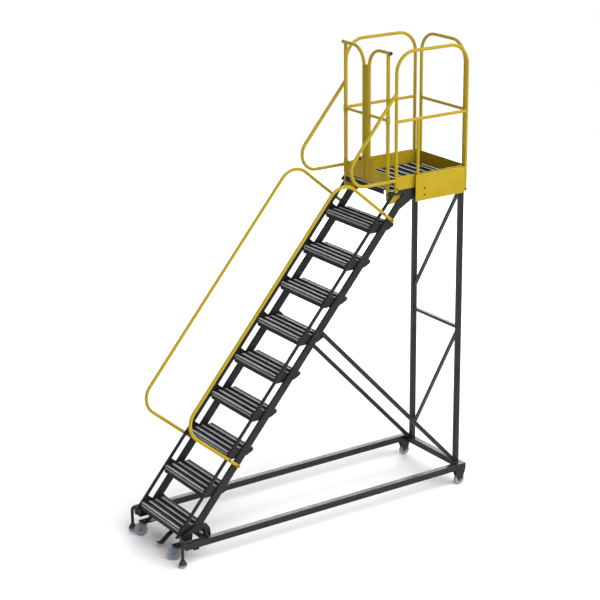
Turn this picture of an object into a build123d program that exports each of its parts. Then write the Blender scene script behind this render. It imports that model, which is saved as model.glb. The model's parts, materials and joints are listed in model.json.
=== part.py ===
"""Mobile ladder stand: nine serrated treads up to a railed work platform with twin swing gates.

Axes: +Z up, the treads climb toward +Y, left is -X.  Millimetres.
The stand is drawn on its casters, with the two rubber feet just clear of the floor.
"""
from build123d import *
from math import atan2, cos, degrees, radians, sin
import os

os.makedirs("parts", exist_ok=True)

# ---------------------------------------------------------------- driving dimensions
FRONT = -1283.6              # world Y of the first tread's nose
FEET_LIFT = 8.0             # the feet hang this far above the floor

# stair
TREADS = 9
RISE = 254.0
RUN = 215.0
TREAD_1_Z = RISE + FEET_LIFT
TREAD_HALF = 285.0
TREAD_DEPTH = 222.0
TREAD_LIP = 58.0
TREAD_BACK_LIP = 32.0
SHEET = 2.5
RIB_Y = (10.0, 65.0, 120.0, 175.0)
RIB_WIDTH = 18.0
RIB_HEIGHT = 8.0
TOOTH_PITCH = 15.0
TOOTH_DEPTH = 3.0

# stringers: a thin front rail and a wide rear rail on each side
RAIL_IN = 291.0
RAIL_OUT = 311.0
FRONT_RAIL_V = (-25.0, -8.0)
REAR_RAIL_V = (-141.0, -85.0)
RAIL_WALL = 2.0
RAIL_FOOT_Z = 224.0
PLATE = 5.9

# base
BASE_BOTTOM = 130.0
BASE_TUBE = 51.0
BASE_TOP = BASE_BOTTOM + BASE_TUBE
BASE_IN = 343.0
BASE_OUT = 394.0
BASE_LENGTH = 2611.0
BASE_WALL = 3.0

# rear frame
UPRIGHT = 38.0
UPRIGHT_X = 290.0
UPRIGHT_Y = 2586.5
BRACE = 25.0

# deck
DECK_Z = 10 * RISE + FEET_LIFT
DECK_FRONT = 1878.0
DECK_BACK = 2600.0
BEAM_HEIGHT = 75.0
BEAM_TOP = DECK_Z - 8.0
BEAM_BOTTOM = BEAM_TOP - BEAM_HEIGHT
BEAM_NOTCH = BEAM_TOP - 36.0
PLANKS = 3

# round tube work
TUBE_R = 13.0
TUBE_WALL = 2.0
SIDE_X = RAIL_OUT + TUBE_R
GUARD_TOP = 3589.0
GUARD_FRONT = 1937.0
GUARD_BACK = 2600.0
GUARD_BEND = 160.0
GUARD_MID = 3070.0
REAR_GUARD_X = 272.0
REAR_GUARD_Y = 2622.0

# gates
POST_X = 272.5
POST_Y = 1897.0
POST_R = 14.0
POST_BOTTOM = 2463.0
GATE_TOP = 3584.0
GATE_BOTTOM = DECK_Z + 12.0
GATE_INNER_X = 34.0
GATE_BEND = 140.0
PANEL_TOP = 2668.0
STRIP_TOP = 3457.0
SLEEVE_R = 17.5

# lift mechanism and casters
SHAFT_Y = 112.0
SHAFT_Z = 108.0
SHAFT_R = 12.0
CASTER_X = 252.0
CASTER_Y = 5.0
CASTER_R = 50.8
CASTER_TRAIL = 30.0
TRAIL_ANGLE = 56.4          # how far the trailing wheels have turned from straight forward-X
REAR_WHEEL_R = 44.0
REAR_WHEEL_X = 368.5
REAR_WHEEL_Y = 2563.0
FOOT_X = 381.0
FOOT_Y = -30.0

SLOPE = degrees(atan2(RISE, RUN))
COS = cos(radians(SLOPE))
SIN = sin(radians(SLOPE))
SIDES = (("left", -1), ("right", 1))


def save(part, name):
    """Label one finished sub-part and write it out."""
    part.label = name
    export_step(part, f"parts/{name}.step")


def slope_plane(x):
    """Plane at this X whose local x runs up the stair and local y stands square to it."""
    return Plane(origin=(x, FRONT, TREAD_1_Z), x_dir=(0, COS, SIN), z_dir=(1, 0, 0))


def on_slope(x, along, out):
    """World point at a place measured along the stair and square out from the nosing line."""
    return (x, FRONT + along * COS - out * SIN, TREAD_1_Z + along * SIN + out * COS)


def side_plane(x):
    """Plane at this X: local x is distance back from the first nose, local y is height."""
    return Plane(origin=(x, FRONT, 0), x_dir=(0, 1, 0), z_dir=(1, 0, 0))


# ---------------------------------------------------------------- treads and deck planks
def plank(nose_y, top_z, half, depth, front_lip, back_lip, ribs):
    """A pressed channel plank with raised serrated ribs running along X."""
    sheet_top = top_z - RIB_HEIGHT
    teeth = int(2 * (half - 6) / TOOTH_PITCH)
    with BuildPart() as channel:
        with BuildSketch(side_plane(-half)):
            with BuildLine():
                Polyline(
                    (nose_y, sheet_top),
                    (nose_y + depth, sheet_top),
                    (nose_y + depth, sheet_top + RIB_HEIGHT - back_lip),
                    (nose_y + depth - 14, sheet_top + RIB_HEIGHT - back_lip),
                    (nose_y + depth - 14, sheet_top + RIB_HEIGHT - back_lip + SHEET),
                    (nose_y + depth - SHEET, sheet_top + RIB_HEIGHT - back_lip + SHEET),
                    (nose_y + depth - SHEET, sheet_top - SHEET),
                    (nose_y + SHEET, sheet_top - SHEET),
                    (nose_y + SHEET, sheet_top + RIB_HEIGHT - front_lip + SHEET),
                    (nose_y + 16, sheet_top + RIB_HEIGHT - front_lip + SHEET),
                    (nose_y + 16, sheet_top + RIB_HEIGHT - front_lip),
                    (nose_y, sheet_top + RIB_HEIGHT - front_lip),
                    close=True,
                )
            make_face()
        extrude(amount=2 * half)
        for rib in ribs:
            start = FRONT + nose_y + rib - RIB_WIDTH / 2
            with BuildSketch(Plane(origin=(0, start, 0), x_dir=(1, 0, 0), z_dir=(0, -1, 0))):
                with BuildLine():
                    outline = [(-half + 3, sheet_top - 1)]
                    for tooth in range(teeth):
                        left = -teeth * TOOTH_PITCH / 2 + tooth * TOOTH_PITCH
                        outline.append((left + 1, top_z - TOOTH_DEPTH))
                        outline.append((left + 3, top_z))
                        outline.append((left + TOOTH_PITCH - 3, top_z))
                        outline.append((left + TOOTH_PITCH - 1, top_z - TOOTH_DEPTH))
                    outline.append((half - 3, sheet_top - 1))
                    Polyline(*outline, close=True)
                make_face()
            extrude(amount=-RIB_WIDTH)
            with Locations((0, start + RIB_WIDTH / 2, sheet_top - 0.75)):
                Box(2 * half - 20, RIB_WIDTH - 5, 6.5, mode=Mode.SUBTRACT)
    return channel.part


for number in range(TREADS):
    save(
        plank(
            number * RUN, TREAD_1_Z + number * RISE, TREAD_HALF, TREAD_DEPTH,
            TREAD_LIP, TREAD_BACK_LIP, RIB_Y,
        ),
        f"tread_{number + 1}",
    )

plank_depth = (DECK_BACK - DECK_FRONT) / PLANKS
with BuildPart() as deck_planks:
    for number in range(PLANKS):
        add(
            plank(
                DECK_FRONT + number * plank_depth, DECK_Z, 290, plank_depth - 1, 40, 34,
                (12, 95, 175) if number == 0 else (20, 95, 175),
            )
        )
    with Locations(*[(side * 290, FRONT + POST_Y - 9, DECK_Z - 20) for _, side in SIDES]):
        Box(2 * (290 - 250), 60, 80, mode=Mode.SUBTRACT)
save(deck_planks.part, "deck_planks")

# ---------------------------------------------------------------- stringers
def slope_tube(inner_x, band):
    """Rectangular tube up the stair, between two distances square to the nosing line."""
    with BuildPart() as tube:
        with BuildSketch(slope_plane(inner_x)):
            with Locations((1500, (band[0] + band[1]) / 2)):
                Rectangle(3400, band[1] - band[0])
        extrude(amount=RAIL_OUT - RAIL_IN)
        with BuildSketch(slope_plane(inner_x + RAIL_WALL)):
            with Locations((1500, (band[0] + band[1]) / 2)):
                Rectangle(3400, band[1] - band[0] - 2 * RAIL_WALL)
        extrude(amount=RAIL_OUT - RAIL_IN - 2 * RAIL_WALL, mode=Mode.SUBTRACT)
    return tube.part


for name, side in SIDES:
    inner = RAIL_IN if side > 0 else -RAIL_OUT

    with BuildPart() as front_rail:
        add(slope_tube(inner, FRONT_RAIL_V))
        with Locations((inner + 10, FRONT + 2000, BEAM_NOTCH + 300)):
            Box(60, 900, 600, mode=Mode.SUBTRACT)
        with Locations((inner + 10, FRONT, TREAD_1_Z - TREAD_LIP - 100)):
            Box(60, 400, 200, mode=Mode.SUBTRACT)
    save(front_rail.part, f"front_rail_{name}")

    with BuildPart() as rear_rail:
        add(slope_tube(inner, REAR_RAIL_V))
        with BuildSketch(side_plane(inner)):
            with BuildLine():
                Polyline(
                    (1960, BEAM_BOTTOM - 90), (2125, BEAM_BOTTOM + 1),
                    (1990, BEAM_BOTTOM + 1), close=True,
                )
            make_face()
        extrude(amount=RAIL_OUT - RAIL_IN)
        with Locations((inner + 10, FRONT + 2000, BEAM_BOTTOM + 300)):
            Box(60, 1200, 600, mode=Mode.SUBTRACT)
        with Locations((inner + 10, FRONT, RAIL_FOOT_Z - 150)):
            Box(60, 900, 300, mode=Mode.SUBTRACT)
    save(rear_rail.part, f"rear_rail_{name}")

    # one plate closes each tread's end; its lower back corner shows behind the rear rail
    plate_start = TREAD_HALF if side > 0 else -TREAD_HALF - PLATE
    with BuildPart() as end_plates:
        for number in range(TREADS):
            nose = number * RUN
            top = TREAD_1_Z + number * RISE
            with BuildSketch(side_plane(plate_start)):
                with BuildLine():
                    Polyline(
                        (nose + 1, top - 6), (nose + 223, top - 6), (nose + 223, top - 33),
                        (nose + 168, top - TREAD_LIP - 2), (nose + 1, top - TREAD_LIP - 2),
                        close=True,
                    )
                make_face()
            extrude(amount=PLATE)
            with BuildSketch(slope_plane(RAIL_IN if side > 0 else -RAIL_IN - 3)):
                along = number * (RUN * COS + RISE * SIN)
                with Locations((along + 42, (FRONT_RAIL_V[0] + REAR_RAIL_V[1]) / 2)):
                    Rectangle(64, FRONT_RAIL_V[0] - REAR_RAIL_V[1])
            extrude(amount=3)
    save(end_plates.part, f"tread_end_plates_{name}")

# ---------------------------------------------------------------- base
for name, side in SIDES:
    with BuildPart() as base_rail:
        centre = side * (BASE_IN + BASE_OUT) / 2
        with BuildSketch(Plane.XZ.offset(-FRONT)):
            with Locations((centre, BASE_BOTTOM + BASE_TUBE / 2)):
                RectangleRounded(BASE_TUBE, BASE_TUBE, 4)
                Rectangle(BASE_TUBE - 2 * BASE_WALL, BASE_TUBE - 2 * BASE_WALL,
                          mode=Mode.SUBTRACT)
        extrude(amount=-BASE_LENGTH)
        with BuildSketch(Plane.XZ.offset(-FRONT - BASE_LENGTH + 3)):
            with Locations((centre, BASE_BOTTOM + BASE_TUBE / 2)):
                RectangleRounded(BASE_TUBE, BASE_TUBE, 4)
        extrude(amount=-3)
    save(base_rail.part, f"base_rail_{name}")


def cross_tube(front_face, half):
    """Square tube across the base."""
    with BuildPart() as tube:
        with BuildSketch(Plane.YZ.offset(-half)):
            with Locations((FRONT + front_face + BASE_TUBE / 2, BASE_BOTTOM + BASE_TUBE / 2)):
                RectangleRounded(BASE_TUBE, BASE_TUBE, 4)
                Rectangle(BASE_TUBE - 2 * BASE_WALL, BASE_TUBE - 2 * BASE_WALL,
                          mode=Mode.SUBTRACT)
        extrude(amount=2 * half)
    return tube.part


save(cross_tube(185, RAIL_OUT), "front_cross_tube")
save(cross_tube(BASE_LENGTH - BASE_TUBE, BASE_IN), "rear_cross_tube")

# shoes that tie each stringer's foot out to its base rail
with BuildPart() as stringer_shoes:
    for name, side in SIDES:
        start = RAIL_OUT if side > 0 else -BASE_IN
        web = RAIL_OUT if side > 0 else -RAIL_OUT - 8
        with BuildSketch(side_plane(web)):
            with BuildLine():
                Polyline(
                    (0, BASE_BOTTOM), (254, BASE_BOTTOM), (254, 158), (245, 224), (214, 270),
                    (140, 270), (92, 252), (0, 216), close=True,
                )
            make_face()
            with BuildLine():
                Polyline((88, 152), (98, 224), (157, 220), (186, 206), (186, 152), close=True)
            make_face(mode=Mode.SUBTRACT)
        extrude(amount=8)
        with BuildSketch(side_plane(start)):
            with Locations((122, BASE_BOTTOM + 3)):
                Rectangle(244, 6)
            with Locations((3, BASE_BOTTOM + 28)):
                Rectangle(6, 56)
        extrude(amount=BASE_IN - RAIL_OUT)
        # upright ear behind the opening, folded out over the top of the base rail
        with BuildSketch(Plane.XZ.offset(-FRONT - 192)):
            with BuildLine():
                Polyline(
                    (side * 312, 196), (side * 312, 244), (side * 350, 222), (side * 386, BASE_TOP),
                    (side * 340, BASE_TOP), (side * 340, BASE_BOTTOM + 2),
                    (side * 312, BASE_BOTTOM + 2), close=True,
                )
            make_face()
        extrude(amount=-5)
        with BuildSketch(side_plane(side * 327 - 16)):
            with Locations((SHAFT_Y, SHAFT_Z + 4)):
                Rectangle(46, 48)
            with Locations((SHAFT_Y, SHAFT_Z)):
                Circle(SHAFT_R + 0.08, mode=Mode.SUBTRACT)
        extrude(amount=32)
save(stringer_shoes.part, "stringer_shoes")

# ---------------------------------------------------------------- rear frame
for name, side in SIDES:
    with BuildPart() as upright:
        with BuildSketch(Plane.XY.offset(BASE_TOP)):
            with Locations((side * UPRIGHT_X, FRONT + UPRIGHT_Y)):
                RectangleRounded(UPRIGHT, UPRIGHT, 3)
                Rectangle(UPRIGHT - 5, UPRIGHT - 5, mode=Mode.SUBTRACT)
        extrude(amount=BEAM_BOTTOM - BASE_TOP)
    save(upright.part, f"rear_upright_{name}")

    # long side brace from the rear rail down to the foot of the upright
    brace_x = side * 301.0
    with BuildPart() as side_brace:
        with BuildSketch(side_plane(brace_x - 9)):
            with BuildLine():
                Polyline((1150, 1692), (2640, 122), (2640, 76), (1150, 1646), close=True)
            make_face()
        extrude(amount=18)
        with BuildSketch(side_plane(brace_x - 7)):
            with BuildLine():
                Polyline((1150, 1689), (2640, 119), (2640, 79), (1150, 1649), close=True)
            make_face()
        extrude(amount=14, mode=Mode.SUBTRACT)
        with BuildSketch(slope_plane(brace_x - 40)):
            with BuildLine():
                Polyline((-200, REAR_RAIL_V[0]), (3300, REAR_RAIL_V[0]), (3300, 900),
                         (-200, 900), close=True)
            make_face()
        extrude(amount=80, mode=Mode.SUBTRACT)
        with Locations((brace_x, FRONT + UPRIGHT_Y + 100 - UPRIGHT / 2, 400)):
            Box(80, 200, 1000, mode=Mode.SUBTRACT)
        with Locations((brace_x, FRONT + 2400, BASE_TOP - 100)):
            Box(80, 1000, 200, mode=Mode.SUBTRACT)
    save(side_brace.part, f"side_brace_{name}")

inside = UPRIGHT_X - UPRIGHT / 2
with BuildPart() as rear_braces:
    for low, high in (((-inside, 300), (inside, 1275)), ((-inside, 1530), (inside, 2440))):
        for half, cut, mode in ((20, 0, Mode.ADD), (16, 2, Mode.SUBTRACT)):
            with BuildSketch(Plane.XZ.offset(-FRONT - UPRIGHT_Y + BRACE / 2 - cut)):
                with BuildLine():
                    Polyline(
                        (low[0], low[1] - half), (high[0], high[1] - half),
                        (high[0], high[1] + half), (low[0], low[1] + half), close=True,
                    )
                make_face()
            extrude(amount=2 * cut - BRACE, mode=mode)
    with Locations((0, FRONT + UPRIGHT_Y, 1318)):
        Box(2 * inside, BRACE, BRACE)
        Box(2 * inside, BRACE - 4, BRACE - 4, mode=Mode.SUBTRACT)
save(rear_braces.part, "rear_braces")

# ---------------------------------------------------------------- deck frame
with BuildPart() as deck_side_beams:
    for name, side in SIDES:
        with BuildSketch(side_plane(RAIL_IN if side > 0 else -RAIL_OUT)):
            with BuildLine():
                Polyline(
                    (1880, BEAM_NOTCH), (2020, BEAM_NOTCH), (1988, BEAM_BOTTOM),
                    (2605.5, BEAM_BOTTOM), (2605.5, BEAM_TOP), (1905, BEAM_TOP),
                    (1880, BEAM_TOP - 22), close=True,
                )
            make_face()
        extrude(amount=RAIL_OUT - RAIL_IN)
        with BuildSketch(side_plane(RAIL_IN - 1 if side > 0 else -RAIL_OUT + 3)):
            with BuildLine():
                Polyline(
                    (1884, BEAM_NOTCH + 3), (2024, BEAM_NOTCH + 3), (1993, BEAM_BOTTOM + 3),
                    (2602, BEAM_BOTTOM + 3), (2602, BEAM_TOP - 3), (1907, BEAM_TOP - 3),
                    (1884, BEAM_TOP - 24), close=True,
                )
            make_face()
        extrude(amount=RAIL_OUT - RAIL_IN - 2, mode=Mode.SUBTRACT)
save(deck_side_beams.part, "deck_side_beams")

with BuildPart() as deck_end_beams:
    for middle in (2090, 2586.5):
        with BuildSketch(Plane.YZ.offset(-RAIL_IN)):
            with Locations((FRONT + middle, BEAM_BOTTOM + 20)):
                Rectangle(38, 40)
                Rectangle(32, 34, mode=Mode.SUBTRACT)
        extrude(amount=2 * RAIL_IN)
save(deck_end_beams.part, "deck_end_beams")

# ---------------------------------------------------------------- toe boards
for name, side in SIDES:
    with BuildPart() as toe_board:
        with BuildSketch(side_plane(SIDE_X + TUBE_R if side > 0 else -SIDE_X - TUBE_R - 4)):
            with Locations(((2112 + 2584) / 2, 2537)):
                Rectangle(2584 - 2112, 206)
        extrude(amount=4)
        with BuildSketch(side_plane(RAIL_OUT - 3 if side > 0 else -RAIL_OUT)):
            with Locations(((1930 + 2605.5) / 2, BEAM_TOP + 52)):
                Rectangle(2605.5 - 1930, 104)
        extrude(amount=3)
        for middle in (2170, 2560):
            with Locations((side * (RAIL_OUT + 13.5), FRONT + middle, BEAM_TOP + 52)):
                Box(28, 12, 60)
    save(toe_board.part, f"toe_board_{name}")

with BuildPart() as toe_board_rear:
    with Locations((0, FRONT + 2607.25, 2592)):
        Box(2 * 308, 3.5, 106)
save(toe_board_rear.part, "toe_board_rear")

# ---------------------------------------------------------------- round tube work
def bent_tube(points, bend, outer=TUBE_R, wall=TUBE_WALL):
    """Hollow tube along straight runs joined by round bends."""
    with BuildPart() as tube:
        with BuildLine() as path:
            FilletPolyline(*points, radius=bend)
        with BuildSketch(Plane(origin=path.line @ 0, z_dir=path.line % 0)):
            Circle(outer)
            Circle(outer - wall, mode=Mode.SUBTRACT)
        sweep()
    return tube.part


def straight_tube(start, end, outer=TUBE_R, wall=TUBE_WALL):
    """Hollow tube from one point to another."""
    with BuildPart() as tube:
        with BuildLine() as path:
            Line(start, end)
        with BuildSketch(Plane(origin=path.line @ 0, z_dir=path.line % 0)):
            Circle(outer)
            Circle(outer - wall, mode=Mode.SUBTRACT)
        sweep()
    return tube.part


for name, side in SIDES:
    x = side * SIDE_X
    front_y = FRONT + GUARD_FRONT
    back_y = FRONT + GUARD_BACK
    short_y = FRONT + 2140

    with BuildPart() as guard_rail:
        add(
            bent_tube(
                [(x, front_y, 2530), (x, front_y, GUARD_TOP), (x, back_y, GUARD_TOP),
                 (x, back_y, 2445)],
                GUARD_BEND,
            )
        )
        add(straight_tube((x, front_y, GUARD_MID), (x, back_y, GUARD_MID), TUBE_R - 1))
        add(straight_tube((x, short_y, 2450), (x, short_y, GUARD_MID)))
    save(guard_rail.part, f"guard_rail_{name}")

    # entry loop: slopes down from the guard's front post and turns back to it
    with BuildPart() as entry_loop:
        add(
            bent_tube(
                [(x, front_y, 3283), (x, FRONT + 1379, 2620), (x, front_y, 2620)], 128,
            )
        )
        with Locations((x, front_y, 3000)):
            Cylinder(TUBE_R, 1200, mode=Mode.SUBTRACT)
        with Locations((x, front_y + 50 + 4, 3000)):
            Box(40, 100, 1200, mode=Mode.SUBTRACT)
    save(entry_loop.part, f"entry_loop_{name}")

    # stair handrail: bolted across both stringer rails at each end
    with BuildPart() as handrail:
        add(
            bent_tube(
                [on_slope(x, 625, -136), on_slope(x, 625, 480), on_slope(x, 2798, 480),
                 on_slope(x, 2798, -136)],
                150,
            )
        )
    save(handrail.part, f"handrail_{name}")

with BuildPart() as guard_rail_rear:
    y = FRONT + REAR_GUARD_Y
    add(
        bent_tube(
            [(-REAR_GUARD_X, y, 2445), (-REAR_GUARD_X, y, GUARD_TOP),
             (REAR_GUARD_X, y, GUARD_TOP), (REAR_GUARD_X, y, 2445)],
            GUARD_BEND,
        )
    )
    add(straight_tube((-REAR_GUARD_X, y, GUARD_MID), (REAR_GUARD_X, y, GUARD_MID), TUBE_R - 1))
save(guard_rail_rear.part, "guard_rail_rear")

# ---------------------------------------------------------------- gate posts and gates
for name, side in SIDES:
    post_x = side * POST_X
    post_y = FRONT + POST_Y
    post_top = GATE_TOP - TUBE_R - 1
    with BuildPart() as gate_post:
        with BuildSketch(Plane.XY.offset(POST_BOTTOM)):
            with Locations((post_x, post_y)):
                Circle(POST_R)
                Circle(POST_R - 3, mode=Mode.SUBTRACT)
        extrude(amount=post_top - POST_BOTTOM)
        with BuildSketch(side_plane(RAIL_IN - 6 if side > 0 else -RAIL_IN)):
            with Locations((POST_Y + 69, 2473.5)):
                RectangleRounded(150, 75, 6)
        extrude(amount=6)
        with Locations((post_x, post_y, (POST_BOTTOM + post_top) / 2)):
            Cylinder(POST_R - 3, post_top, mode=Mode.SUBTRACT)
    save(gate_post.part, f"gate_post_{name}")

    inner_x = side * GATE_INNER_X
    with BuildPart() as gate:
        add(
            bent_tube(
                [(side * 300, post_y, GATE_TOP), (inner_x, post_y, GATE_TOP),
                 (inner_x, post_y, GATE_BOTTOM)],
                GATE_BEND,
            )
        )
        add(straight_tube((post_x - side * 16, post_y, GUARD_MID + 6),
                          (inner_x, post_y, GUARD_MID + 6), TUBE_R - 2))
        with Locations((post_x, post_y, GUARD_MID + 6)):
            Cylinder(SLEEVE_R, 50)
        with Locations((post_x, post_y, GATE_BOTTOM + 65)):
            Cylinder(SLEEVE_R, 110)
        with BuildSketch(Plane.XZ.offset(-post_y - 1.5)):
            with BuildLine():
                Polyline(
                    (post_x - side * 2, GATE_BOTTOM + 2), (inner_x + side * 2, GATE_BOTTOM + 2),
                    (inner_x + side * 2, PANEL_TOP + 86), (inner_x + side * 60, PANEL_TOP + 62),
                    (inner_x + side * 92, PANEL_TOP), (post_x - side * 2, PANEL_TOP), close=True,
                )
            make_face()
        extrude(amount=3)
        with Locations((post_x, post_y, (GATE_BOTTOM + post_top) / 2)):
            Cylinder(POST_R + 0.07, post_top - GATE_BOTTOM + 0.2, mode=Mode.SUBTRACT)
        with Locations((post_x, post_y, post_top - 12)):
            Cylinder(POST_R - 3 - 0.06, 50)
    save(gate.part, f"gate_{name}")

    with BuildPart() as gate_plug:
        with BuildSketch(Plane(origin=(side * 300, post_y, GATE_TOP), z_dir=(side, 0, 0))):
            Circle(TUBE_R + 1.5)
        extrude(amount=9)
        fillet(gate_plug.faces().sort_by(Axis.X)[-1 if side > 0 else 0].edges(), 4)
    save(gate_plug.part, f"gate_plug_{name}")

with BuildPart() as gate_stop_strip:
    with Locations((-0.25, FRONT + POST_Y, (GATE_BOTTOM + STRIP_TOP) / 2)):
        Box(2 * (GATE_INNER_X - TUBE_R) - 0.5, 3, STRIP_TOP - GATE_BOTTOM)
save(gate_stop_strip.part, "gate_stop_strip")

with BuildPart() as gate_bumper:
    with BuildSketch(Plane(origin=(-78, FRONT + POST_Y - 1.5, 2716), z_dir=(0, -1, 0))):
        Circle(9)
    extrude(amount=12)
    fillet(gate_bumper.faces().sort_by(Axis.Y)[0].edges(), 4)
save(gate_bumper.part, "gate_bumper")

# ---------------------------------------------------------------- lift shaft and pedal
with BuildPart() as lift_shaft:
    with BuildSketch(Plane.YZ.offset(-339)):
        with Locations((FRONT + SHAFT_Y, SHAFT_Z)):
            Circle(SHAFT_R)
    extrude(amount=678)
    with Locations(*[(side * CASTER_X, FRONT + 44, 117) for _, side in SIDES]):
        Box(70, 144, 10)
    with Locations(*[(side * CASTER_X, FRONT + CASTER_Y, 117) for _, side in SIDES]):
        Cylinder(8.06, 30, mode=Mode.SUBTRACT)
save(lift_shaft.part, "lift_shaft")

with BuildPart() as foot_pedal:
    with BuildLine() as pedal_path:
        FilletPolyline(
            (0, FRONT + 100, 106), (0, FRONT + 72, 92), (0, FRONT + 8, 40), (0, FRONT - 24, 46),
            radius=18,
        )
    with BuildSketch(Plane(origin=pedal_path.line @ 0, x_dir=(1, 0, 0),
                           z_dir=pedal_path.line % 0)):
        RectangleRounded(48, 9, 3)
    sweep()
    with Locations(Location((0, FRONT + SHAFT_Y, SHAFT_Z), (0, 90, 0))):
        Cylinder(SHAFT_R, 200, mode=Mode.SUBTRACT)
save(foot_pedal.part, "foot_pedal")

# ---------------------------------------------------------------- swivel casters
trail_x = -cos(radians(TRAIL_ANGLE))
trail_y = -sin(radians(TRAIL_ANGLE))


def caster_plane(side):
    """Plane of one swivel wheel: local x trails back from the swivel, local y is height."""
    return Plane(
        origin=(side * CASTER_X, FRONT + CASTER_Y, 0),
        x_dir=(trail_x, trail_y, 0), z_dir=(trail_y, -trail_x, 0),
    )


for name, side in SIDES:
    with BuildPart() as caster_fork:
        with BuildSketch(caster_plane(side)):
            with BuildLine():
                Polyline((-22, 106), (-22, 98), (19, 44), (41, 44), (42, 106), close=True)
            make_face()
            with Locations((CASTER_TRAIL, CASTER_R)):
                Circle(13)
        extrude(amount=20, both=True)
        with BuildSketch(caster_plane(side)):
            with Locations((15, 52)):
                Rectangle(160, 104)
        extrude(amount=16, both=True, mode=Mode.SUBTRACT)
        with BuildSketch(caster_plane(side)):
            with Locations((CASTER_TRAIL, CASTER_R)):
                Circle(6)
        extrude(amount=25, both=True)
        with Locations((side * CASTER_X, FRONT + CASTER_Y, 108.8)):
            Cylinder(24, 5.8)
        with Locations((side * CASTER_X, FRONT + CASTER_Y, 118)):
            Cylinder(8, 20)
        with BuildSketch(Plane.XY.offset(122.4)):
            with Locations((side * CASTER_X, FRONT + CASTER_Y)):
                RegularPolygon(12, 6)
        extrude(amount=8)
    save(caster_fork.part, f"caster_fork_{name}")

    with BuildPart() as caster_wheel:
        with BuildSketch(caster_plane(side)):
            with Locations((CASTER_TRAIL, CASTER_R)):
                Circle(CASTER_R)
        extrude(amount=14, both=True)
        fillet(caster_wheel.edges().filter_by(GeomType.CIRCLE), 6)
        with BuildSketch(caster_plane(side)):
            with Locations((CASTER_TRAIL, CASTER_R)):
                Circle(14)
        extrude(amount=15.6, both=True)
        for face in (10, -20):
            with BuildSketch(caster_plane(side).offset(face)):
                with Locations((CASTER_TRAIL, CASTER_R)):
                    Circle(36)
                    Circle(15, mode=Mode.SUBTRACT)
            extrude(amount=10, mode=Mode.SUBTRACT)
        with BuildSketch(caster_plane(side)):
            with Locations((CASTER_TRAIL, CASTER_R)):
                Circle(6.05)
        extrude(amount=30, both=True, mode=Mode.SUBTRACT)
    save(caster_wheel.part, f"caster_wheel_{name}")

# ---------------------------------------------------------------- rear casters, fixed in line
with BuildPart() as rear_caster_brackets:
    for name, side in SIDES:
        with BuildSketch(side_plane(side * REAR_WHEEL_X - 20)):
            with BuildLine():
                Polyline(
                    (2515, BASE_BOTTOM), (2611, BASE_BOTTOM), (2611, 116), (2580, 34),
                    (2546, 34), (2515, 116), close=True,
                )
            make_face()
        extrude(amount=40)
        with Locations((side * REAR_WHEEL_X, FRONT + REAR_WHEEL_Y, 62)):
            Box(32, 140, 124, mode=Mode.SUBTRACT)
        with Locations(Location((side * REAR_WHEEL_X, FRONT + REAR_WHEEL_Y, REAR_WHEEL_R),
                                (0, 90, 0))):
            Cylinder(6, 60, mode=Mode.SUBTRACT)
save(rear_caster_brackets.part, "rear_caster_brackets")

with BuildPart() as rear_axles:
    for name, side in SIDES:
        with Locations(Location((side * REAR_WHEEL_X, FRONT + REAR_WHEEL_Y, REAR_WHEEL_R),
                                (0, 90, 0))):
            Cylinder(6, 50)
        for end in (-22.5, 22.5):
            with BuildSketch(Plane.YZ.offset(side * REAR_WHEEL_X + end - 2.5)):
                with Locations((FRONT + REAR_WHEEL_Y, REAR_WHEEL_R)):
                    RegularPolygon(10, 6)
            extrude(amount=5)
save(rear_axles.part, "rear_axles")

for name, side in SIDES:
    with BuildPart() as rear_wheel:
        centre = Location((side * REAR_WHEEL_X, FRONT + REAR_WHEEL_Y, REAR_WHEEL_R), (0, 90, 0))
        with Locations(centre):
            Cylinder(REAR_WHEEL_R, 28)
        fillet(rear_wheel.edges().filter_by(GeomType.CIRCLE), 5)
        with Locations(centre):
            Cylinder(14, 31.2)
            Cylinder(6.05, 60, mode=Mode.SUBTRACT)
    save(rear_wheel.part, f"rear_wheel_{name}")

# ---------------------------------------------------------------- front legs and feet
with BuildPart() as front_legs:
    for name, side in SIDES:
        x = side * FOOT_X
        add(
            bent_tube(
                [(x, FRONT + 48, BASE_TOP + 12), (x, FRONT + FOOT_Y, BASE_TOP + 12),
                 (x, FRONT + FOOT_Y, 36)],
                26, 12, 3,
            )
        )
        with BuildSketch(Plane.XZ.offset(-FRONT)):
            with BuildLine():
                Polyline(
                    (side * 394, BASE_BOTTOM), (side * 394, 200), (side * 296, 200),
                    (side * 296, 168), (side * 335, 162), (side * 358, 150),
                    (side * 366, BASE_BOTTOM), close=True,
                )
            make_face()
        extrude(amount=6)
save(front_legs.part, "front_legs")

with BuildPart() as rubber_feet:
    for name, side in SIDES:
        with BuildSketch(Plane(origin=(side * FOOT_X, FRONT + FOOT_Y, 0), x_dir=(1, 0, 0),
                               z_dir=(0, -1, 0))):
            with BuildLine():
                Polyline(
                    (0, FEET_LIFT), (28, FEET_LIFT), (31, FEET_LIFT + 4), (31, 22), (28, 36),
                    (21, 47), (17, 56), (12, 56), (12, 36), (0, 36), close=True,
                )
            make_face()
        revolve(axis=Axis((side * FOOT_X, FRONT + FOOT_Y, 0), (0, 0, 1)))
save(rubber_feet.part, "rubber_feet")

# ---------------------------------------------------------------- bolts
bolt_places = []
for along in (625, 2798):
    for out in (-15.5, -113):
        place = on_slope(0, along, out)
        bolt_places.append((SIDE_X + TUBE_R, place[1], place[2]))
for height in (2478, 2528):
    bolt_places.append((SIDE_X + TUBE_R + 4, FRONT + 2195, height))
for distance, height in ((GUARD_FRONT, 2560), (GUARD_BACK, 2455)):
    bolt_places.append((SIDE_X + TUBE_R, FRONT + distance, height))

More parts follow.
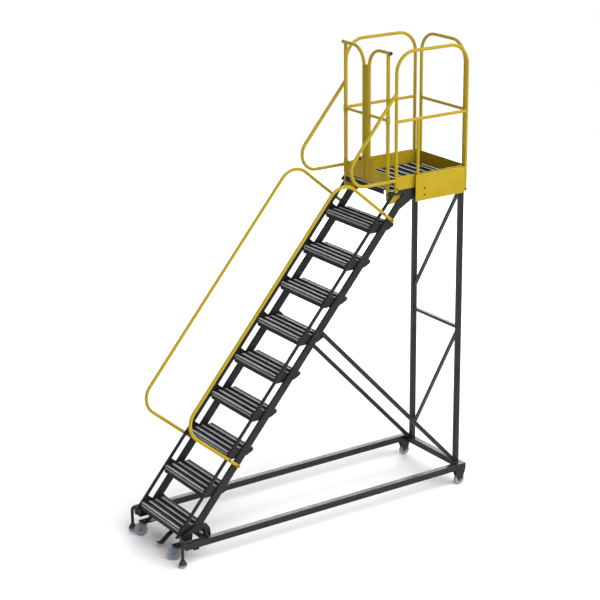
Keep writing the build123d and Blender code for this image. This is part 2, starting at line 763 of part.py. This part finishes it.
with BuildPart() as frame_bolts:
    for bolt_x, bolt_y, bolt_z in bolt_places:
        for _, side in SIDES:
            start = bolt_x if side > 0 else -bolt_x - 5
            with BuildSketch(Plane.YZ.offset(start)):
                with Locations((bolt_y, bolt_z)):
                    RegularPolygon(8, 6)
            extrude(amount=5)
save(frame_bolts.part, "frame_bolts")
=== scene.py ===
# %% [markdown]
# # A mobile ladder stand
# The steel ladder arrives from the CAD as a frame of named pieces that already have the right
# size and place. This lesson stands them in a plain studio, gives them paint, metal and
# rubber, and adds the small repeated things that a drawing leaves out: rows of grip teeth on
# the treads and beads of weld where parts meet.

import json
import math

import bpy
from mathutils import Matrix, Vector


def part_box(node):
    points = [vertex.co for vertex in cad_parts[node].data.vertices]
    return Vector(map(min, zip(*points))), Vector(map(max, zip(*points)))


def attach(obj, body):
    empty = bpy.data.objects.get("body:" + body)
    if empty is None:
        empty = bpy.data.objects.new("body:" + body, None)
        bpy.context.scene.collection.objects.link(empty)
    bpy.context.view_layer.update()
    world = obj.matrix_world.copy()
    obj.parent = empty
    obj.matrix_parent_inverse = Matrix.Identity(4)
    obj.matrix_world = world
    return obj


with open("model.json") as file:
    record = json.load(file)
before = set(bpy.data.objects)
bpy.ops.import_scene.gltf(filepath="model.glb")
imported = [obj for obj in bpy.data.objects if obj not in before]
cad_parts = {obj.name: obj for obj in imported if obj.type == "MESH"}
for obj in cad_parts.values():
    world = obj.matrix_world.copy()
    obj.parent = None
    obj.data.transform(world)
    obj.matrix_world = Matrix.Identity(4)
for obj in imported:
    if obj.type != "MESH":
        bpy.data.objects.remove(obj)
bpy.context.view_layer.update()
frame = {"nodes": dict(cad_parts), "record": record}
nodes = frame["nodes"]

# %% [markdown]
# Most places in this lesson come from the boxes of the CAD pieces. The first tread gives the
# nose line of the stair, and the second tread gives the rise and the run from one to the next.

# %% Measure the stair
TREADS = 9

first_low, first_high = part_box("tread_1")
second_low, second_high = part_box("tread_2")
rise = second_high.z - first_high.z
run = second_low.y - first_low.y
nose_y = first_low.y
deck_low, deck_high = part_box("deck_planks")
print("rise", round(rise, 4), "run", round(run, 4), "nose at", round(nose_y, 4))

# %% [markdown]
# ## The camera
# The stand is tall and slim, so a long lens from some way off keeps its uprights nearly
# parallel. The camera looks down a little, from the right of the bottom tread.

# %% Place the camera
LENS_MM = 109.236
SENSOR_MM = 36
TURN_DEG, DIP_DEG, ROLL_DEG = 56.38, 18.57, -0.53
camera_place = Vector((10.9246, nose_y - 5.9849, 6.1254))

turn, dip, roll = (math.radians(angle) for angle in (TURN_DEG, DIP_DEG, ROLL_DEG))
look = Vector((-math.sin(turn) * math.cos(dip), math.cos(turn) * math.cos(dip), -math.sin(dip)))
flat_right = Vector((math.cos(turn), math.sin(turn), 0))
flat_up = flat_right.cross(look)
right = math.cos(roll) * flat_right + math.sin(roll) * flat_up
up = math.cos(roll) * flat_up - math.sin(roll) * flat_right
lens = bpy.data.cameras.new("studio_camera")
lens.sensor_width = SENSOR_MM
lens.lens = LENS_MM
lens.clip_end = 300
camera = bpy.data.objects.new("studio_camera", lens)
bpy.context.scene.collection.objects.link(camera)
rotation = Matrix((right, up, -look)).transposed().to_4x4()
camera.matrix_world = Matrix.Translation(camera_place) @ rotation
bpy.context.scene.camera = camera
print("lens", round(lens.lens, 1), "mm")

# %% [markdown]
# ## The studio
# A catalogue picture has a pale floor without a horizon and soft light. A very large plane
# stands for the floor, and the world gives an even fill. A wide sun from the right, above and
# a little behind lights the side of the ladder and leaves its front in shade. A large panel
# behind it on the left adds a sheen to faces that look up.

# %% Floor, world and lights
def node_material(name):
    """A new material with only a Principled shader and an output; returns its parts."""
    material = bpy.data.materials.new(name)
    material.use_nodes = True
    tree = material.node_tree
    shader = next(n for n in tree.nodes if n.type == "BSDF_PRINCIPLED")
    return material, tree, shader


FLOOR_REACH = 90
WORLD_STRENGTH = 0.32
SUN_STRENGTH, SUN_SPREAD_DEG, SUN_PLACE = 3.3, 68, (7.5, 2.8, 9.5)
PANEL_WATTS, PANEL_SIZE, PANEL_PLACE = 680, (9.0, 4.0), (-8.4, 5.6, 5.2)

floor_material, _, floor_shader = node_material("pale_floor")
floor_shader.inputs["Base Color"].default_value = (0.97, 0.97, 0.97, 1)
floor_shader.inputs["Roughness"].default_value = 0.9
floor_shader.inputs["Specular IOR Level"].default_value = 0.05
sheet = bpy.data.meshes.new("studio_floor")
corners = [(x * FLOOR_REACH, y * FLOOR_REACH, 0) for x, y in ((-1, -1), (1, -1), (1, 1), (-1, 1))]
sheet.from_pydata(corners, [], [(0, 1, 2, 3)])
sheet.materials.append(floor_material)
floor = bpy.data.objects.new("studio_floor", sheet)
bpy.context.scene.collection.objects.link(floor)

world = bpy.data.worlds.new("studio_world")
world.use_nodes = True
background = world.node_tree.nodes["Background"]
background.inputs["Color"].default_value = (1, 1, 1, 1)
background.inputs["Strength"].default_value = WORLD_STRENGTH
bpy.context.scene.world = world
bpy.context.scene.view_settings.view_transform = "Standard"


def aim(light, place, target):
    """Stand a light at place and turn it to face target."""
    light.location = place
    light.rotation_euler = (Vector(target) - Vector(place)).to_track_quat("-Z", "Y").to_euler()
    light.visible_camera = False
    bpy.context.scene.collection.objects.link(light)


sun = bpy.data.lights.new("wide_sun", "SUN")
sun.energy = SUN_STRENGTH
sun.angle = math.radians(SUN_SPREAD_DEG)
aim(bpy.data.objects.new("wide_sun", sun), SUN_PLACE, (0, 0, 1.5))

panel = bpy.data.lights.new("sheen_panel", "AREA")
panel.shape = "RECTANGLE"
panel.size, panel.size_y = PANEL_SIZE
panel.energy = PANEL_WATTS
aim(bpy.data.objects.new("sheen_panel", panel), PANEL_PLACE, (0, 0, 1.0))
print("studio ready")

# %% [markdown]
# ## Effects that several finishes share
# Powder coat, zinc and rubber all need a fine surface, a little wear on their edges and some
# dust. Each effect is a shader node group with its own sockets, so every material can use it
# with its own values.

# %% A helper for shader groups
def new_group(name, inputs, outputs):
    """An empty shader group; inputs are (name, kind, value) and outputs are (name, kind)."""
    group = bpy.data.node_groups.new(name, "ShaderNodeTree")
    for label, kind, value in inputs:
        socket = group.interface.new_socket(label, in_out="INPUT", socket_type=kind)
        socket.default_value = value
    for label, kind in outputs:
        group.interface.new_socket(label, in_out="OUTPUT", socket_type=kind)
    start = group.nodes.new("NodeGroupInput")
    end = group.nodes.new("NodeGroupOutput")
    return group, start, end


def math_node(tree, operation, first, second, clamp=False):
    """A Math node fed by sockets or plain numbers; returns its output."""
    node = tree.nodes.new("ShaderNodeMath")
    node.operation = operation
    node.use_clamp = clamp
    for place, value in enumerate((first, second)):
        if isinstance(value, (int, float)):
            node.inputs[place].default_value = value
        else:
            tree.links.new(value, node.inputs[place])
    return node.outputs[0]


def spread(tree, value, low, high, new_low=0.0, new_high=1.0):
    """A clamped Map Range node that takes low..high to new_low..new_high."""
    node = tree.nodes.new("ShaderNodeMapRange")
    tree.links.new(value, node.inputs["Value"])
    for label, number in (("From Min", low), ("From Max", high),
                          ("To Min", new_low), ("To Max", new_high)):
        node.inputs[label].default_value = number
    return node.outputs["Result"]


# %% Fine texture: orange peel, grain and slow colour drift
fine_group, start, end = new_group(
    "fine_surface",
    [("Grain Size", "NodeSocketFloat", 900.0), ("Drift Size", "NodeSocketFloat", 6.0)],
    [("Height", "NodeSocketFloat"), ("Drift", "NodeSocketFloat")],
)
place = fine_group.nodes.new("ShaderNodeTexCoord")
grain = fine_group.nodes.new("ShaderNodeTexNoise")
grain.inputs["Detail"].default_value = 3
drift = fine_group.nodes.new("ShaderNodeTexNoise")
drift.inputs["Detail"].default_value = 5
for noise, label in ((grain, "Grain Size"), (drift, "Drift Size")):
    fine_group.links.new(place.outputs["Object"], noise.inputs["Vector"])
    fine_group.links.new(start.outputs[label], noise.inputs["Scale"])
fine_group.links.new(grain.outputs["Fac"], end.inputs["Height"])
fine_group.links.new(drift.outputs["Fac"], end.inputs["Drift"])
print("group", fine_group.name)

# %% Edge wear: where a rounded normal leaves the flat one, broken up by noise
wear_group, start, end = new_group(
    "edge_wear",
    [("Radius", "NodeSocketFloat", 0.002), ("Amount", "NodeSocketFloat", 0.5)],
    [("Mask", "NodeSocketFloat")],
)
bevel = wear_group.nodes.new("ShaderNodeBevel")
bevel.samples = 4
wear_group.links.new(start.outputs["Radius"], bevel.inputs["Radius"])
geometry = wear_group.nodes.new("ShaderNodeNewGeometry")
dot = wear_group.nodes.new("ShaderNodeVectorMath")
dot.operation = "DOT_PRODUCT"
wear_group.links.new(bevel.outputs["Normal"], dot.inputs[0])
wear_group.links.new(geometry.outputs["Normal"], dot.inputs[1])
edge = spread(wear_group, dot.outputs["Value"], 0.995, 0.85)
place = wear_group.nodes.new("ShaderNodeTexCoord")
chips = wear_group.nodes.new("ShaderNodeTexNoise")
chips.inputs["Scale"].default_value = 85
chips.inputs["Detail"].default_value = 6
wear_group.links.new(place.outputs["Object"], chips.inputs["Vector"])
broken = spread(wear_group, chips.outputs["Fac"], 0.48, 0.62)
mask = math_node(wear_group, "MULTIPLY", math_node(wear_group, "MULTIPLY", edge, broken),
                 start.outputs["Amount"], clamp=True)
wear_group.links.new(mask, end.inputs["Mask"])
print("group", wear_group.name)

# %% Dust: more on faces that look up, in soft patches
dust_group, start, end = new_group(
    "settled_dust",
    [("Amount", "NodeSocketFloat", 0.2), ("Patch Size", "NodeSocketFloat", 9.0)],
    [("Mask", "NodeSocketFloat")],
)
geometry = dust_group.nodes.new("ShaderNodeNewGeometry")
split = dust_group.nodes.new("ShaderNodeSeparateXYZ")
dust_group.links.new(geometry.outputs["Normal"], split.inputs[0])
upward = spread(dust_group, split.outputs["Z"], 0.3, 1.0, 0.15, 1.0)
place = dust_group.nodes.new("ShaderNodeTexCoord")
patches = dust_group.nodes.new("ShaderNodeTexNoise")
patches.inputs["Detail"].default_value = 7
dust_group.links.new(place.outputs["Object"], patches.inputs["Vector"])
dust_group.links.new(start.outputs["Patch Size"], patches.inputs["Scale"])
patchy = spread(dust_group, patches.outputs["Fac"], 0.4, 0.7)
mask = math_node(dust_group, "MULTIPLY", math_node(dust_group, "MULTIPLY", upward, patchy),
                 start.outputs["Amount"], clamp=True)
dust_group.links.new(mask, end.inputs["Mask"])
print("group", dust_group.name)

# %% [markdown]
# ## The finishes
# A finish is one Principled shader. Its colour drifts slightly, turns to a worn colour on the
# edges and to dust on top, and its bump is the fine grain. One function builds them all from
# a few plain numbers, because paint, zinc and rubber differ only in those.

# %% Build one finish
DUST_COLOUR = (0.42, 0.41, 0.39)
RELIEF_DISTANCE = 0.0006


def use_group(tree, group, values):
    """Place a group in a material and set its sockets."""
    node = tree.nodes.new("ShaderNodeGroup")
    node.node_tree = group
    for label, number in values.items():
        node.inputs[label].default_value = number
    return node


def mix_colour(tree, factor, first, second):
    """Mix two colours, given as sockets or as plain colours; returns the result."""
    node = tree.nodes.new("ShaderNodeMix")
    node.data_type = "RGBA"
    tree.links.new(factor, node.inputs["Factor"])
    for socket, value in ((node.inputs[6], first), (node.inputs[7], second)):
        if isinstance(value, tuple):
            socket.default_value = value + (1,)
        else:
            tree.links.new(value, socket)
    return node.outputs[2]


def finish(name, dark, light, worn, rough, grain_size, bump, wear=0.4, dust=0.2,
           metallic=0.0, worn_metallic=0.0, shine=0.5, wear_radius=0.002):
    """A finish whose colour drifts from dark to light and wears to a third colour."""
    material, tree, shader = node_material(name)
    surface = use_group(tree, fine_group, {"Grain Size": grain_size})
    edges = use_group(tree, wear_group, {"Amount": wear, "Radius": wear_radius})
    dusty = use_group(tree, dust_group, {"Amount": dust})
    drifted = spread(tree, surface.outputs["Drift"], 0.3, 0.7)
    colour = mix_colour(tree, drifted, dark, light)
    colour = mix_colour(tree, edges.outputs["Mask"], colour, worn)
    colour = mix_colour(tree, dusty.outputs["Mask"], colour, DUST_COLOUR)
    tree.links.new(colour, shader.inputs["Base Color"])
    roughness = spread(tree, surface.outputs["Drift"], 0.25, 0.75, rough - 0.06, rough + 0.08)
    dulled = math_node(tree, "MULTIPLY", dusty.outputs["Mask"], 0.3)
    roughness = math_node(tree, "ADD", roughness, dulled, clamp=True)
    tree.links.new(roughness, shader.inputs["Roughness"])
    if worn_metallic != metallic:
        tree.links.new(spread(tree, edges.outputs["Mask"], 0, 1, metallic, worn_metallic),
                       shader.inputs["Metallic"])
    else:
        shader.inputs["Metallic"].default_value = metallic
    shader.inputs["Specular IOR Level"].default_value = shine
    relief = tree.nodes.new("ShaderNodeBump")
    relief.inputs["Strength"].default_value = bump
    relief.inputs["Distance"].default_value = RELIEF_DISTANCE
    tree.links.new(surface.outputs["Height"], relief.inputs["Height"])
    tree.links.new(relief.outputs["Normal"], shader.inputs["Normal"])
    print("finish", name)
    return material


# %% The ladder's own finishes
charcoal_coat = finish("charcoal_coat", (0.0105, 0.0118, 0.0122), (0.0185, 0.0205, 0.0212),
                       (0.16, 0.16, 0.16), 0.28, 700, 0.35, wear=0.3, dust=0.04,
                       worn_metallic=0.8, shine=0.22)
tread_coat = finish("tread_coat", (0.008, 0.009, 0.0095), (0.016, 0.0178, 0.0185),
                    (0.2, 0.2, 0.2), 0.62, 900, 0.6, wear=0.45, dust=0.03,
                    worn_metallic=0.8, shine=0.16)
yellow_coat = finish("yellow_coat", (0.395, 0.282, 0.009), (0.455, 0.325, 0.016),
                     (0.22, 0.15, 0.04), 0.36, 650, 0.3, wear=0.3, dust=0.02, shine=0.12)
# The bolt heads are the yellow paint darkened, as painted shade.
bolt_paint_with_painted_shade = finish("bolt_paint_with_painted_shade", (0.105, 0.070, 0.008), (0.15, 0.10, 0.012),
                   (0.2, 0.16, 0.08), 0.45, 900, 0.3, wear=0.3, dust=0.03, shine=0.2)
bare_grip = finish("bare_grip", (0.46, 0.48, 0.50), (0.68, 0.70, 0.72),
                   (0.9, 0.9, 0.9), 0.45, 1500, 0.4, wear=0.5, dust=0.05, metallic=0.25,
                   worn_metallic=0.6, wear_radius=0.001)
zinc_plate = finish("zinc_plate", (0.12, 0.138, 0.16), (0.17, 0.19, 0.215),
                    (0.4, 0.41, 0.42), 0.38, 1200, 0.3, wear=0.3, dust=0.1, metallic=0.4,
                    worn_metallic=0.9, wear_radius=0.001)
wheel_polymer = finish("wheel_polymer", (0.200, 0.232, 0.272), (0.252, 0.290, 0.332),
                       (0.26, 0.28, 0.3), 0.5, 900, 0.35, wear=0.3, dust=0.12)
black_rubber = finish("black_rubber", (0.012, 0.012, 0.013), (0.022, 0.022, 0.024),
                      (0.09, 0.09, 0.09), 0.7, 1100, 0.5, wear=0.4, dust=0.15)
black_plastic = finish("black_plastic", (0.01, 0.01, 0.011), (0.017, 0.017, 0.018),
                       (0.08, 0.08, 0.08), 0.45, 1300, 0.3, wear=0.3, dust=0.05)

# %% [markdown]
# The rubber feet are two-tone: a black boot on a pale sole. The sole is only a height, so the
# rubber material gets a second colour below it instead of a second material.

# %% A pale sole on the rubber feet
SOLE_TOP, SOLE_EDGE = 0.018, 0.003

foot_low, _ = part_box("rubber_feet")
sole_top = foot_low.z + SOLE_TOP
rubber_tree = black_rubber.node_tree
rubber_shader = next(n for n in rubber_tree.nodes if n.type == "BSDF_PRINCIPLED")
boot_colour = rubber_shader.inputs["Base Color"].links[0].from_socket
place = rubber_tree.nodes.new("ShaderNodeTexCoord")
split = rubber_tree.nodes.new("ShaderNodeSeparateXYZ")
rubber_tree.links.new(place.outputs["Object"], split.inputs[0])
below = spread(rubber_tree, split.outputs["Z"], sole_top, sole_top - SOLE_EDGE)
rubber_tree.links.new(mix_colour(rubber_tree, below, boot_colour, (0.30, 0.30, 0.31)),
                      rubber_shader.inputs["Base Color"])
print("sole up to", round(sole_top, 3))

# %% [markdown]
# Most nodes take the finish of their slot. The treads and the deck have a duller coat than
# the rest of the black steel. The bolt heads get the yellow paint in a darker tone, which is
# painted shade at the heads.

# %% Give each CAD node its finish
slot_finish = {
    "black_paint": charcoal_coat,
    "yellow_paint": yellow_coat,
    "zinc": zinc_plate,
    "foot_rubber": black_rubber,
    "wheel_tread": wheel_polymer,
    "black_plastic": black_plastic,
}
node_finish = {f"tread_{number + 1}": tread_coat for number in range(TREADS)}
node_finish |= {"deck_planks": tread_coat, "frame_bolts": bolt_paint_with_painted_shade}
slot_of = {entry["node"]: entry["material_slot"] for entry in frame["record"]["subparts"]}
for name, node in nodes.items():
    for slot in node.material_slots:
        slot.link = "OBJECT"
        slot.material = node_finish.get(name, slot_finish[slot_of[name]])
print("finished", len(nodes), "CAD nodes")

# %% [markdown]
# ## Grip teeth
# The walking faces have raised ribs whose tops are cut into rows of small teeth. They have
# lost their paint, so they shine against the dark treads. Hundreds of equal teeth in straight
# rows are work for Geometry Nodes: one tree makes a tooth, repeats it into a row, and puts a
# row at each point it is given. The tree gets its sizes through named inputs.

# %% Helpers for Geometry Nodes
def new_tree(name, inputs):
    """A Geometry Nodes tree with a mesh in, a mesh out and the named inputs."""
    tree = bpy.data.node_groups.new(name, "GeometryNodeTree")
    tree.interface.new_socket("Geometry", in_out="INPUT", socket_type="NodeSocketGeometry")
    for label, kind, value in inputs:
        socket = tree.interface.new_socket(label, in_out="INPUT", socket_type=kind)
        if value is not None:
            socket.default_value = value
    tree.interface.new_socket("Geometry", in_out="OUTPUT", socket_type="NodeSocketGeometry")
    start = tree.nodes.new("NodeGroupInput")
    end = tree.nodes.new("NodeGroupOutput")
    return tree, start, end


def end_tree(tree, start, end, geometry):
    """Realize the instances, set the material and finish the tree."""
    realize = tree.nodes.new("GeometryNodeRealizeInstances")
    paint = tree.nodes.new("GeometryNodeSetMaterial")
    tree.links.new(geometry, realize.inputs[0])
    tree.links.new(realize.outputs[0], paint.inputs["Geometry"])
    tree.links.new(start.outputs["Material"], paint.inputs["Material"])
    tree.links.new(paint.outputs[0], end.inputs[0])


def link_object(name, mesh):
    """Put a mesh in the scene as an object at the origin."""
    piece = bpy.data.objects.new(name, mesh)
    bpy.context.scene.collection.objects.link(piece)
    return piece


def bake(name, vertices, edges, tree, values, material):
    """Run a tree on a small mesh of points or edges and keep the result as a plain mesh."""
    seed = bpy.data.meshes.new(name + "_seed")
    seed.from_pydata(vertices, edges, [])
    carrier = link_object(name + "_seed", seed)
    modifier = carrier.modifiers.new("nodes", "NODES")
    modifier.node_group = tree
    settings = {**values, "Material": material}
    for item in tree.interface.items_tree:
        if item.in_out == "INPUT" and item.name in settings:
            modifier[item.identifier] = settings[item.name]
    evaluated = carrier.evaluated_get(bpy.context.evaluated_depsgraph_get())
    mesh = bpy.data.meshes.new_from_object(evaluated)
    bpy.data.objects.remove(carrier)
    mesh.name = name
    # The result has an empty slot before its material, so its slots are made again.
    mesh.materials.clear()
    mesh.materials.append(material)
    piece = link_object(name, mesh)
    print(name, len(mesh.polygons), "faces of", material.name)
    return piece


# %% A tree for rows of teeth
TOOTH_SHARE = 0.6

teeth_tree, start, end = new_tree("grip_teeth", [
    ("Row Length", "NodeSocketFloat", 0.57),
    ("Pitch", "NodeSocketFloat", 0.0075),
    ("Tooth Width", "NodeSocketFloat", 0.008),
    ("Tooth Height", "NodeSocketFloat", 0.004),
    ("Tilt", "NodeSocketFloat", 0.0),
    ("Material", "NodeSocketMaterial", None),
])
tooth = teeth_tree.nodes.new("GeometryNodeMeshCone")
for label, number in (("Vertices", 4), ("Side Segments", 1), ("Radius Top", 0.42),
                      ("Radius Bottom", 0.68), ("Depth", 1.0)):
    tooth.inputs[label].default_value = number
square = teeth_tree.nodes.new("GeometryNodeTransform")
square.inputs["Rotation"].default_value = (0, 0, math.pi / 4)
teeth_tree.links.new(tooth.outputs["Mesh"], square.inputs["Geometry"])
size = teeth_tree.nodes.new("ShaderNodeCombineXYZ")
teeth_tree.links.new(math_node(teeth_tree, "MULTIPLY", start.outputs["Pitch"], TOOTH_SHARE),
                     size.inputs["X"])
teeth_tree.links.new(start.outputs["Tooth Width"], size.inputs["Y"])
teeth_tree.links.new(start.outputs["Tooth Height"], size.inputs["Z"])
scaled = teeth_tree.nodes.new("GeometryNodeTransform")
teeth_tree.links.new(square.outputs[0], scaled.inputs["Geometry"])
teeth_tree.links.new(size.outputs[0], scaled.inputs["Scale"])
row = teeth_tree.nodes.new("GeometryNodeMeshLine")
row.mode = "OFFSET"
count = math_node(teeth_tree, "FLOOR",
                  math_node(teeth_tree, "DIVIDE", start.outputs["Row Length"],
                            start.outputs["Pitch"]), 0)
teeth_tree.links.new(count, row.inputs["Count"])
step = teeth_tree.nodes.new("ShaderNodeCombineXYZ")
teeth_tree.links.new(start.outputs["Pitch"], step.inputs["X"])
teeth_tree.links.new(step.outputs[0], row.inputs["Offset"])
first_x = teeth_tree.nodes.new("ShaderNodeCombineXYZ")
half_row = math_node(teeth_tree, "MULTIPLY",
                     math_node(teeth_tree, "MULTIPLY",
                               math_node(teeth_tree, "SUBTRACT", count, 1.0),
                               start.outputs["Pitch"]), -0.5)
teeth_tree.links.new(half_row, first_x.inputs["X"])
teeth_tree.links.new(first_x.outputs[0], row.inputs["Start Location"])
along_row = teeth_tree.nodes.new("GeometryNodeInstanceOnPoints")
teeth_tree.links.new(row.outputs[0], along_row.inputs["Points"])
teeth_tree.links.new(scaled.outputs[0], along_row.inputs["Instance"])
at_ribs = teeth_tree.nodes.new("GeometryNodeInstanceOnPoints")
teeth_tree.links.new(start.outputs["Geometry"], at_ribs.inputs["Points"])
teeth_tree.links.new(along_row.outputs[0], at_ribs.inputs["Instance"])
lean = teeth_tree.nodes.new("ShaderNodeCombineXYZ")
teeth_tree.links.new(start.outputs["Tilt"], lean.inputs["X"])
teeth_tree.links.new(lean.outputs[0], at_ribs.inputs["Rotation"])
end_tree(teeth_tree, start, end, at_ribs.outputs[0])
print("tree", teeth_tree.name)

# %% Put the teeth on the treads and the deck
TREAD_RIBS = (0.010, 0.065, 0.120, 0.175)
FIRST_PLANK_RIBS = (0.012, 0.095, 0.175)
PLANK_RIBS = (0.020, 0.095, 0.175)
PLANKS = 3
PLANK_GAP = 0.001
ROW_OFFSETS = (-0.0045, 0.0045)
TOOTH_SINK = 0.0012
NOSE_DROPS = (0.0125, 0.0215)
ROW_MARGIN = 0.012
RIB_TEETH = {"Pitch": 0.015, "Tooth Width": 0.0072, "Tooth Height": 0.0042}
NOSE_TEETH = {"Pitch": 0.015, "Tooth Width": 0.0052, "Tooth Height": 0.0024,
              "Tilt": math.pi / 2}
DECK_ROW, DECK_NOSE_ROW = 0.568, 0.495


def rib_rows(front, ribs, top):
    """The middles of the two rows of teeth on every rib of one plank."""
    return [(0, front + rib + offset, top - TOOTH_SINK)
            for rib in ribs for offset in ROW_OFFSETS]


tread_points, nose_points = [], []
for number in range(TREADS):
    top = first_high.z + number * rise
    front = nose_y + number * run
    tread_points += rib_rows(front, TREAD_RIBS, top)
    nose_points += [(0, front, top - drop) for drop in NOSE_DROPS]
tread_row = first_high.x - first_low.x - ROW_MARGIN
tread_grip = bake("tread_grip", tread_points, [], teeth_tree,
                  {**RIB_TEETH, "Row Length": tread_row}, bare_grip)
tread_nose = bake("tread_nose_grip", nose_points, [], teeth_tree,
                  {**NOSE_TEETH, "Row Length": tread_row}, bare_grip)

# The first rib of the deck lies between the gate posts, so its rows are shorter.
plank_run = (deck_high.y - deck_low.y + PLANK_GAP) / PLANKS
deck_points = []
for number in range(PLANKS):
    ribs = FIRST_PLANK_RIBS if number == 0 else PLANK_RIBS
    deck_points += rib_rows(deck_low.y + number * plank_run, ribs, deck_high.z)
short_rows, long_rows = deck_points[:len(ROW_OFFSETS)], deck_points[len(ROW_OFFSETS):]
deck_grip = bake("deck_grip", long_rows, [], teeth_tree,
                 {**RIB_TEETH, "Row Length": DECK_ROW}, bare_grip)
deck_nose = bake("deck_nose_grip", short_rows, [], teeth_tree,
                 {**RIB_TEETH, "Row Length": DECK_NOSE_ROW}, bare_grip)
for piece in (tread_grip, tread_nose, deck_grip, deck_nose):
    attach(piece, "frame")

# %% [markdown]
# ## Weld beads
# Tubes and plates are welded where they meet. A weld is a row of overlapping drops of metal
# along a line, so the tree turns a line into evenly spaced points and sets a small rounded
# drop, a little larger or smaller each time, on each of them. The lines themselves are only
# rings round tube ends and short straight stitches along the ends of the treads.

# %% A tree for weld beads
SMALLEST_BEAD, LARGEST_BEAD = 0.8, 1.15

weld_tree, start, end = new_tree("weld_beads", [
    ("Bead Radius", "NodeSocketFloat", 0.003),
    ("Spacing", "NodeSocketFloat", 0.004),
    ("Seed", "NodeSocketInt", 7),
    ("Material", "NodeSocketMaterial", None),
])
line = weld_tree.nodes.new("GeometryNodeMeshToCurve")
weld_tree.links.new(start.outputs["Geometry"], line.inputs["Mesh"])
points = weld_tree.nodes.new("GeometryNodeResampleCurve")
points.mode = "LENGTH"
weld_tree.links.new(line.outputs[0], points.inputs["Curve"])
weld_tree.links.new(start.outputs["Spacing"], points.inputs["Length"])
drop_shape = weld_tree.nodes.new("GeometryNodeMeshIcoSphere")
drop_shape.inputs["Subdivisions"].default_value = 2
weld_tree.links.new(start.outputs["Bead Radius"], drop_shape.inputs["Radius"])
vary = weld_tree.nodes.new("FunctionNodeRandomValue")
vary.data_type = "FLOAT"
vary.inputs[2].default_value = SMALLEST_BEAD
vary.inputs[3].default_value = LARGEST_BEAD
weld_tree.links.new(start.outputs["Seed"], vary.inputs["Seed"])
beads = weld_tree.nodes.new("GeometryNodeInstanceOnPoints")
weld_tree.links.new(points.outputs[0], beads.inputs["Points"])
weld_tree.links.new(drop_shape.outputs["Mesh"], beads.inputs["Instance"])
weld_tree.links.new(vary.outputs[1], beads.inputs["Scale"])
end_tree(weld_tree, start, end, beads.outputs[0])
print("tree", weld_tree.name)

# %% Rings round the ends of the guard's mid rails and posts
RING_POINTS = 16
MID_RAIL_HEIGHT = 0.522
SHORT_POST_RUN = 2.140
BEAD_GAP = 0.001
BEAD_TUCK = 0.003


def add_ring(vertices, edges, centre, radius, normal):
    """Add a ring of points about a centre, square to one axis (0, 1 or 2)."""
    first = len(vertices)
    for number in range(RING_POINTS):
        angle = number * math.tau / RING_POINTS
        point = [math.cos(angle) * radius, math.sin(angle) * radius]
        point.insert(normal, 0.0)
        vertices.append(tuple(Vector(centre) + Vector(point)))
        edges.append((first + number, first + (number + 1) % RING_POINTS))


guard_low, guard_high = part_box("guard_rail_right")
tube_radius = (guard_high.x - guard_low.x) / 2
side_x = (guard_high.x + guard_low.x) / 2
mid_z = deck_high.z + MID_RAIL_HEIGHT
rear_low, rear_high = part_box("guard_rail_rear")
rear_y = (rear_low.y + rear_high.y) / 2
bead_ring = tube_radius - BEAD_TUCK
inset = 2 * tube_radius + BEAD_GAP
ring_points, ring_edges = [], []
for side in (-1, 1):
    for place, normal in (((side * side_x, guard_low.y + inset, mid_z), 1),
                          ((side * side_x, guard_high.y - inset, mid_z), 1),
                          ((side * side_x, nose_y + SHORT_POST_RUN, mid_z - tube_radius), 2),
                          ((side * (rear_high.x - inset), rear_y, mid_z), 0)):
        add_ring(ring_points, ring_edges, place, bead_ring, normal)
guard_welds = bake("guard_welds", ring_points, ring_edges, weld_tree,
                   {"Bead Radius": 0.0026, "Spacing": 0.0035}, yellow_coat)
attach(guard_welds, "frame")

# %% Stitches between each tread and its end plates
STITCH_STARTS = (0.036, 0.090, 0.145)
STITCH_LENGTH = 0.022
STITCH_DEPTH = 0.008
STITCH_INSET = 0.0015

stitch_points, stitch_edges = [], []
for number in range(TREADS):
    top = first_high.z + number * rise - STITCH_DEPTH
    front = nose_y + number * run
    for x in (first_low.x + STITCH_INSET, first_high.x - STITCH_INSET):
        for begin in STITCH_STARTS:
            stitch_edges.append((len(stitch_points), len(stitch_points) + 1))
            stitch_points += [(x, front + begin, top), (x, front + begin + STITCH_LENGTH, top)]
tread_welds = bake("tread_welds", stitch_points, stitch_edges, weld_tree,
                   {"Bead Radius": 0.0025, "Spacing": 0.0035, "Seed": 3}, charcoal_coat)
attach(tread_welds, "frame")
